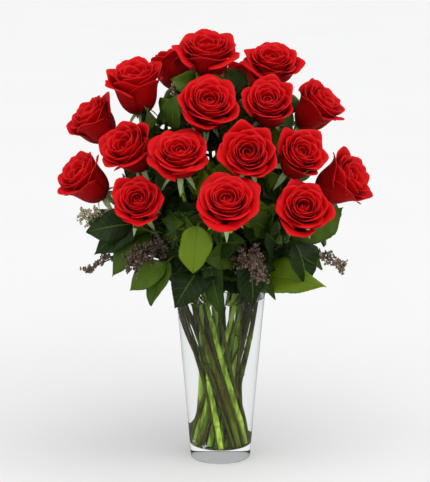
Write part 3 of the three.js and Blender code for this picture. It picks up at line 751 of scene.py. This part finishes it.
def leaf_half(share):
    """Half a leaf's width at a share of its length, where 1 is its widest half."""
    if share < LEAF_STALK:
        return STALK_BREADTH
    if share < LEAF_MIDDLE:
        rest = (LEAF_MIDDLE - share) / (LEAF_MIDDLE - LEAF_STALK)
        return max(STALK_BREADTH, (1 - rest ** 2.2) ** 0.6)
    return (1 - past(LEAF_MIDDLE, share) ** 2.3) ** 1.1


def leaf(bm, base, tip, width, tone, dice, across_faces=LEAF_ACROSS, up_faces=LEAF_UP):
    """One leaf: folded along its midrib, arched, twisted, its margin toothed and wavy."""
    along = tip - base
    length = along.length
    along.normalize()
    away = Vector((tip.x + base.x, tip.y + base.y - (LOOK_FORWARD if tip.y < 0 else 0), LOOK_UP))
    face = (away - along * away.dot(along)).normalized()
    across = along.cross(face)
    waves = dice.uniform(0, 2 * math.pi)
    sway = dice.uniform(-0.08, 0.08)
    fold = LEAF_FOLD * dice.uniform(0.3, 1.4)
    twist = LEAF_TWIST * dice.uniform(-1, 1)
    droop = LEAF_DROOP * dice.uniform(0.2, 1)

    def place(side, share):
        tooth = (share * up_faces / 2) % 1 if share > LEAF_STALK else 0
        half = leaf_half(share) * width / 2 * (1 - LEAF_TOOTH * tooth * abs(side) ** 8)
        out = side * half * (1 + LEAF_UNEVEN * math.sin(9 * share + waves + 1.3 * side))
        rise = fold * abs(out) + LEAF_WAVE * width * side ** 2 * math.sin(8 * share + waves + 1.5 * side)
        rise += LEAF_CRINKLE * width * side ** 2 * math.sin(21 * share - waves)
        turn = twist * (share - 0.3)
        arch = LEAF_ARCH * (1 - (2 * share - 1) ** 2) - droop * share ** 3
        return (base + along * share * length + face * arch * length + across * sway * length * share ** 2
                + across * (out * math.cos(turn) - rise * math.sin(turn))
                + face * (out * math.sin(turn) + rise * math.cos(turn)))

    _, blade = drawn(bm, across_faces, up_faces, place, tone)
    for part in blade:
        part.material_index = TOP_FINISH


def thicken_leaves(bm):
    """Gives the drawn leaves their thickness. What this adds is their undersides."""
    blades = [face for face in bm.faces if face.material_index == TOP_FINISH]
    shell = bmesh.ops.solidify(bm, geom=blades, thickness=LEAF_THICKNESS)["geom"]
    for face in {item for item in shell if isinstance(item, bmesh.types.BMFace)}.difference(blades):
        face.material_index = UNDER_FINISH


def leaf_finish(name, colours, gloss):
    """Green blade with a pale midrib and side veins that run forward to the margin."""
    finish = Finish(name, Specular_IOR_Level=0.2, Coat_Weight=gloss, Coat_Roughness=0.25)
    across, along = finish.net("X"), finish.net("Y")
    mottle = finish.noise(scale=70, detail=4)
    fine = finish.noise(scale=600)
    side_veins = abs((along * 9 - abs(across) * 1.6).fraction() - 0.5).between(0.42, 0.5)
    midrib = 1 - abs(across).between(0.015, 0.07)
    level = finish.kept("tone") + (mottle - 0.5) * 0.35 + (along - 0.5) * 0.12
    green = finish.ramp(level, *colours)
    ribs = midrib * 0.85 + side_veins * 0.3
    green = finish.mixed(ribs * 0.6, green, MIDRIB_COLOUR)
    finish.surface(Base_Color=green, Roughness=0.3 + mottle * 0.25)
    finish.relief(fine * 0.25 - ribs + mottle * 0.8, depth=0.0006)
    finish.lets_light_through(green, share=0.18)
    return finish


woody = Finish("greens_stem", Roughness=0.55, Specular_IOR_Level=0.1)
grain = woody.noise(scale=300, stretch=(1, 1, 0.15))
woody.surface(Base_Color=woody.ramp(grain, (0.3, (0.045, 0.030, 0.003)), (0.7, (0.100, 0.130, 0.007))))
woody.relief(grain, depth=0.0003)
leaf_top = leaf_finish("leaf_top", LEAF_COLOURS, gloss=0.06)
leaf_under = leaf_finish("leaf_underside", UNDERSIDE_COLOURS, gloss=0.0)

for spray, (name, (end, turn, lift, leaves, side_leaves)) in enumerate(SPRAYS.items()):
    dice = random.Random(300 + spray)
    node = "leaf_spray_" + name
    line, curve = bent_line(node, end, turn, lift)
    bm = bmesh.new()
    whole = even_line(line + curve[1:], CANE_STEP, passes=1)
    radii = [blend(STEM_RADIUS, STEM_TIP, number / (len(whole) - 1)) for number in range(len(whole))]
    tube(bm, whole, radii, STEM_SIDES)
    for share, tip, width, tone in leaves:
        leaf(bm, along_curve(curve, share), Vector(tip), width, tone, dice)
    outward = pointing(turn, 0)
    sideways = Vector((-outward.y, outward.x, 0))
    for order in range(side_leaves):
        base = along_curve(curve, 0.3 + 0.6 * order / side_leaves)
        way = outward * (0.5 + 0.25 * math.cos(order * 2)) + sideways * (0.8 if order % 2 else -0.8)
        way.z = 0.25 + 0.3 * math.sin(order * 3 + turn)
        tip = base + way.normalized() * SIDE_LEAF_LENGTH
        leaf(bm, base, tip, SIDE_LEAF_WIDTH, dice.uniform(0.05, 0.5), dice)
    for _ in range(FILL_LEAVES):
        base = along_curve(curve, dice.uniform(0.1, 0.75))
        way = outward * dice.uniform(-0.5, 0.5) + sideways * dice.uniform(-1, 1)
        way.z = dice.uniform(-0.25, 0.6)
        reach = FILL_LEAF_LENGTH * dice.uniform(0.8, 1.1)
        tip = base + way.normalized() * reach
        leaf(bm, base, tip, reach * FILL_LEAF_BREADTH, dice.uniform(0.0, 0.35), dice)
    thicken_leaves(bm)
    piece = made("greens_" + name, bm, woody, leaf_top, leaf_under)
    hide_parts(node)

# ----------------------------------------------------------- the rose leaves
# The roses keep a few leaves under their heads: each a thin stalk with five
# small toothed leaflets, dark green, growing in towards the middle of the bunch.

LEAF_STATIONS = (0.028, 0.048, 0.070, 0.100)
STALK_LENGTH, STALK_RADIUS, STALK_ARCH = 0.040, 0.0007, 0.004
STALK_STEPS, STALK_SIDES, STALK_TONE = 4, 6, 0.6
LEAFLETS = [(1, 0), (0.55, -1), (0.55, 1), (0.9, -1), (0.9, 1)]  # share of the stalk, side of it
LEAFLET_LENGTH, LEAFLET_WIDTH, LEAFLET_OUT = 0.050, 0.036, 1.6
LEAFLET_ACROSS, LEAFLET_UP = 6, 24

for number, line in cane_lines.items():
    dice = random.Random(600 + number)
    inwards = math.degrees(math.atan2(-line[-1].y, -line[-1].x))
    bm = bmesh.new()
    for order, station in enumerate(LEAF_STATIONS):
        base = line[-round(station / CANE_STEP)]
        way = pointing(inwards + (90 if order % 2 else -90) * dice.uniform(0.3, 1.0), dice.uniform(5, 50))
        end = base + way * STALK_LENGTH
        stalk = []
        for step in range(STALK_STEPS + 1):
            arch = STALK_ARCH * math.sin(math.pi * step / STALK_STEPS)
            stalk.append(base.lerp(end, step / STALK_STEPS) + Vector((0, 0, arch)))
        tube(bm, stalk, [STALK_RADIUS] * len(stalk), STALK_SIDES, STALK_TONE)
        sideways = way.cross(Vector((0, 0, 1))).normalized()
        tone = dice.uniform(0.15, 0.72)
        for share, side in LEAFLETS:
            start = along_curve(stalk, share)
            rise = Vector((0, 0, dice.uniform(-0.3, 0.2)))
            out = (way + sideways * side * LEAFLET_OUT + rise).normalized()
            length = LEAFLET_LENGTH * dice.uniform(0.75, 1.05)
            leaf(bm, start, start + out * length, LEAFLET_WIDTH, tone + dice.uniform(-0.05, 0.05), dice,
                 LEAFLET_ACROSS, LEAFLET_UP)
    thicken_leaves(bm)
    piece = made(f"rose_{number:02d}_leaves", bm, woody, leaf_top, leaf_under)

# ----------------------------------------------------- the seeded eucalyptus
# Thin branching sprigs, hung with clusters of small woody seed cups and buds,
# mauve-brown where they are ripe and greenish cream where they are young.

# Each sprig: its end, the way it leaves there, how far along the seeds start, its bend,
# how many twigs it has, how far they spread, and its tone from ripe brown to cream.
SPRIGS = {
    "front_left": ((-0.182, -0.070, 0.286), -165, -30, 0.5, 1.1, 26, 0.022, 0.30),
    "front_left_low": ((-0.119, -0.116, 0.306), -140, -35, 0.55, 1.3, 84, 0.034, 0.15),
    "front_right": ((0.050, -0.122, 0.292), -60, -50, 0.40, 1.4, 80, 0.032, 0.30),
    "right": ((0.168, -0.046, 0.284), -10, -45, 0.45, 0.9, 30, 0.026, 0.5),
    "left": ((-0.183, -0.054, 0.357), -160, 5, 0.5, 0.8, 50, 0.036, 0.85),
    "back": ((-0.066, 0.168, 0.330), 115, -30, 0.5, 0.9, 34, 0.028, 0.3),
    "inner": ((-0.064, 0.006, 0.532), -140, 70, 0.45, 1.0, 26, 0.024, 0.7),
}
SPRIG_RADIUS, SPRIG_TIP = 0.0018, 0.0008
TWIG_RADII, TWIG_SIDES, TWIG_ARCH = [0.0006, 0.00048, 0.00036], 4, 0.08
NEARBY = 0.06
SEEDS_ON_TWIG = 11
SEED_RADIUS, SEED_STRETCH, SEED_FINISH = 0.0017, 1.25, 1
SEED_COLOURS = [(0, (0.024, 0.012, 0.007)), (0.45, (0.175, 0.11, 0.085)), (1, (0.46, 0.44, 0.27))]

seed_cup = Finish("eucalyptus_seed_cup", Roughness=0.65)
speckle = seed_cup.noise(scale=420, detail=3)
seed_cup.surface(Base_Color=seed_cup.ramp(seed_cup.kept("tone") + (speckle - 0.5) * 0.7, *SEED_COLOURS))
seed_cup.relief(speckle, depth=0.0004)


def seed(bm, at, radius, tone):
    """One seed cup, a little longer than wide."""
    tones = bm.verts.layers.float.get("tone")
    place = Matrix.LocRotScale(at, None, (1, 1, SEED_STRETCH))
    cup = bmesh.ops.create_icosphere(bm, subdivisions=1, radius=radius, matrix=place)["verts"]
    for point in cup:
        point[tones] = tone
    for face in {face for point in cup for face in point.link_faces}:
        face.material_index = SEED_FINISH


for sprig, (name, (end, turn, lift, seeded, bend, twigs, spread, tone)) in enumerate(SPRIGS.items()):
    dice = random.Random(400 + sprig)
    node = "eucalyptus_" + name
    line, curve = bent_line(node, end, turn, lift, bend)
    bm = bmesh.new()
    whole = even_line(line + curve[1:], CANE_STEP, passes=1)
    radii = [blend(SPRIG_RADIUS, SPRIG_TIP, number / (len(whole) - 1)) for number in range(len(whole))]
    tube(bm, whole, radii, STEM_SIDES)
    for twig in range(twigs):
        share = blend(seeded, 1, (twig + dice.random()) / twigs)
        base = along_curve(curve, share)
        ahead = along_curve(curve, min(1, share + NEARBY)) - along_curve(curve, share - NEARBY)
        aside = pointing(dice.uniform(0, 360), dice.uniform(-60, 60))
        way = (aside + ahead.normalized() * 0.9).normalized()
        tip = base + way * spread * dice.uniform(0.5, 1.0) * blend(1, 0.6, share)
        path = [base, base.lerp(tip, 0.5) + Vector((0, 0, TWIG_ARCH * spread)), tip]
        tube(bm, path, TWIG_RADII, TWIG_SIDES)
        for _ in range(SEEDS_ON_TWIG):
            at = along_curve(path, dice.uniform(0.25, 1.05))
            at = at + pointing(dice.uniform(0, 360), dice.uniform(-90, 90)) * dice.uniform(0.001, 0.004)
            seed(bm, at, SEED_RADIUS * dice.uniform(0.7, 1.15), tone + dice.uniform(-0.15, 0.2))
    piece = made("seeded_" + name, bm, woody, seed_cup)
    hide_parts(node)

# ------------------------------------------------- the table, light and camera
# A plain pale table top that runs on behind. Soft light falls from high on the
# right, and a weaker one from the left, in even pale surroundings.

TABLE_SIZE, TABLE_CELLS = 26, 2
TABLE_TONES = (0.80, 0.80, 0.795), (0.83, 0.83, 0.825)

table_finish = Finish("pale_table", Roughness=0.6)
cloudy = table_finish.noise(scale=3)
table_finish.surface(Base_Color=table_finish.mixed(cloudy, *TABLE_TONES))
mesh = bpy.data.meshes.new("table_top")
bm = bmesh.new()
bmesh.ops.create_grid(bm, x_segments=TABLE_CELLS, y_segments=TABLE_CELLS, size=TABLE_SIZE / 2)
bm.to_mesh(mesh)
bm.free()
mesh.materials.append(table_finish.material)
table = bpy.data.objects.new("table_top", mesh)
# Light that the glass bends or reflects doesn't show it: so bright a table would veil the stems.
table.visible_glossy = False
table.visible_transmission = False
bpy.context.scene.collection.objects.link(table)

# Each light: the way it shines from (turn, lift, in degrees), how wide it looks, its strength.
LIGHTS = {"right_light": (-50, 58, 75, 2.0), "left_light": (-150, 35, 75, 0.8)}
for name, (turn, lift, breadth, strength) in LIGHTS.items():
    light = bpy.data.lights.new(name, "SUN")
    light.angle = math.radians(breadth)
    light.energy = strength
    lamp = bpy.data.objects.new(name, light)
    lamp.rotation_euler = (-pointing(turn, lift)).to_track_quat("-Z", "Y").to_euler()
    bpy.context.scene.collection.objects.link(lamp)

# The surroundings light the bunch evenly. They look paler behind it, and paler still straight
# through the glass. As a reflection they are dim, more so on a surface than inside the glass.
PALE = (0.95, 0.96, 0.97, 1)
PALE_LIGHT, PALE_SEEN, PALE_THROUGH_GLASS, PALE_IN_GLASS, PALE_REFLECTED = 0.6, 0.82, 0.92, 0.45, 0.2
surroundings = bpy.data.worlds.new("pale_surroundings")
surroundings.use_nodes = True
background = surroundings.node_tree.nodes["Background"].inputs
background["Color"].default_value = PALE
paths = Nodes(surroundings.node_tree)
straight, shiny, through, reflections, scatterings = (
    paths.node("LightPath", output=output)
    for output in ("Is Camera Ray", "Is Glossy Ray", "Is Transmission Ray", "Glossy Depth", "Diffuse Depth")
)
in_glass = shiny * through
through_glass = in_glass * (1 - (reflections + scatterings).between(0, 1))
strength = straight * (PALE_SEEN - PALE_LIGHT) + shiny * (PALE_REFLECTED - PALE_LIGHT) + PALE_LIGHT
strength += in_glass * (PALE_IN_GLASS - PALE_REFLECTED)
strength += through_glass * (PALE_THROUGH_GLASS - PALE_IN_GLASS)
paths.feed(background["Strength"], strength)
bpy.context.scene.world = surroundings
bpy.context.scene.view_settings.view_transform = "Standard"

# The film's width is in mm, and the focal length and the picture's height are in its pixels.
FILM_WIDTH = 36
FOCAL_PIXELS = 2512
PICTURE_HEIGHT = 482
# From over three metres in front and half a metre over the blooms, it looks down by the tilt.
CAMERA_PLACE, CAMERA_TILT = (-0.0077, -3.4, 1.105), 13.13
SEEN_TO = 60
camera = bpy.data.cameras.new("camera")
camera.sensor_width = FILM_WIDTH
camera.lens = FILM_WIDTH * FOCAL_PIXELS / PICTURE_HEIGHT
camera.clip_end = SEEN_TO
viewer = bpy.data.objects.new("camera", camera)
viewer.location = CAMERA_PLACE
viewer.rotation_euler = (math.radians(90 - CAMERA_TILT), 0, 0)
bpy.context.scene.collection.objects.link(viewer)
bpy.context.scene.camera = viewer
